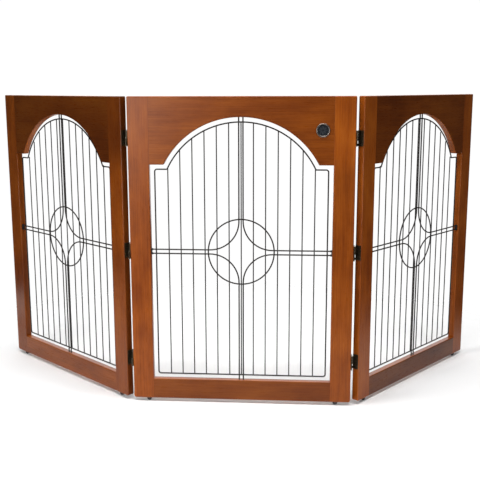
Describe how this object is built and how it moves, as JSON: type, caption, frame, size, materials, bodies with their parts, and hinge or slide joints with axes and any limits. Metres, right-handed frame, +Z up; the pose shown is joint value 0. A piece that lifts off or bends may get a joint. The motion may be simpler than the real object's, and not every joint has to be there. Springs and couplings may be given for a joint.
{
  "type": "pet gate",
  "caption": "Free-standing folding pet gate: arched wooden panels with wire grilles, joined by double-acting hinges and standing on dome feet.",
  "frame": {"origin": "on the floor under the middle of the gate as it stands", "axes": "+Z up, the centre panel faces -Y and runs along X, the side panels fold back towards +Y"},
  "size_m": [1.4208, 0.4848, 0.817],
  "materials": {
    "stained_wood": "brown stain under satin lacquer",
    "dowel_wood": "bare beech",
    "black_wire": "satin brown-black coating",
    "bush_plastic": "black moulded plastic",
    "foot_rubber": "black, slightly shiny",
    "nail_steel": "bright",
    "medallion_metal": "polished",
    "medallion_face": "dark enamel",
    "hinge_metal": "antique bronze",
    "pin_metal": "dark steel",
    "screw_metal": "antique bronze"
  },
  "bodies": {
    "centre_panel": {"centre_border_wire": "black_wire", "centre_bottom_rail": "stained_wood", "centre_corner_wires": "black_wire", "centre_dowels": "dowel_wood", "centre_feet": "foot_rubber", "centre_foot_nails": "nail_steel", "centre_ring_wire": "black_wire", "centre_stile_left": "stained_wood", "centre_stile_right": "stained_wood", "centre_top_rail": "stained_wood", "centre_upright_wires": "black_wire", "centre_wire_bushes": "bush_plastic", "left_hinge_front_pins": "pin_metal", "left_hinge_leaves_centre": "hinge_metal", "left_hinge_screws_centre": "screw_metal", "medallion_disc": "medallion_face", "medallion_rim": "medallion_metal", "medallion_stud": "medallion_metal", "right_hinge_front_pins": "pin_metal", "right_hinge_leaves_centre": "hinge_metal", "right_hinge_screws_centre": "screw_metal"},
    "left_link": {"left_hinge_links": "hinge_metal"},
    "right_link": {"right_hinge_links": "hinge_metal"},
    "left_panel": {"left_border_wire": "black_wire", "left_bottom_rail": "stained_wood", "left_corner_wires": "black_wire", "left_dowels": "dowel_wood", "left_feet": "foot_rubber", "left_foot_nails": "nail_steel", "left_hinge_back_pins": "pin_metal", "left_hinge_leaves_side": "hinge_metal", "left_hinge_screws_side": "screw_metal", "left_ring_wire": "black_wire", "left_stile_left": "stained_wood", "left_stile_right": "stained_wood", "left_top_rail": "stained_wood", "left_upright_wires": "black_wire", "left_wire_bushes": "bush_plastic"},
    "right_panel": {"right_border_wire": "black_wire", "right_bottom_rail": "stained_wood", "right_corner_wires": "black_wire", "right_dowels": "dowel_wood", "right_feet": "foot_rubber", "right_foot_nails": "nail_steel", "right_hinge_back_pins": "pin_metal", "right_hinge_leaves_side": "hinge_metal", "right_hinge_screws_side": "screw_metal", "right_ring_wire": "black_wire", "right_stile_left": "stained_wood", "right_stile_right": "stained_wood", "right_top_rail": "stained_wood", "right_upright_wires": "black_wire", "right_wire_bushes": "bush_plastic"}
  },
  "joints": [
    {"name": "left_front_pin", "type": "hinge", "parent": "centre_panel", "child": "left_link", "pos_m": [-0.25511, -0.24027, 0.415], "axis": [0, 0, 1], "range_deg": [0, 180]},
    {"name": "left_back_pin", "type": "hinge", "parent": "left_link", "child": "left_panel", "pos_m": [-0.25511, -0.21768, 0.415], "axis": [0, 0, -1], "range_deg": [-41, 49]},
    {"name": "right_front_pin", "type": "hinge", "parent": "centre_panel", "child": "right_link", "pos_m": [0.33389, -0.24027, 0.415], "axis": [0, 0, -1], "range_deg": [0, 90]},
    {"name": "right_back_pin", "type": "hinge", "parent": "right_link", "child": "right_panel", "pos_m": [0.33389, -0.21768, 0.415], "axis": [0, 0, 1], "range_deg": [-52, 128]}
  ]
}
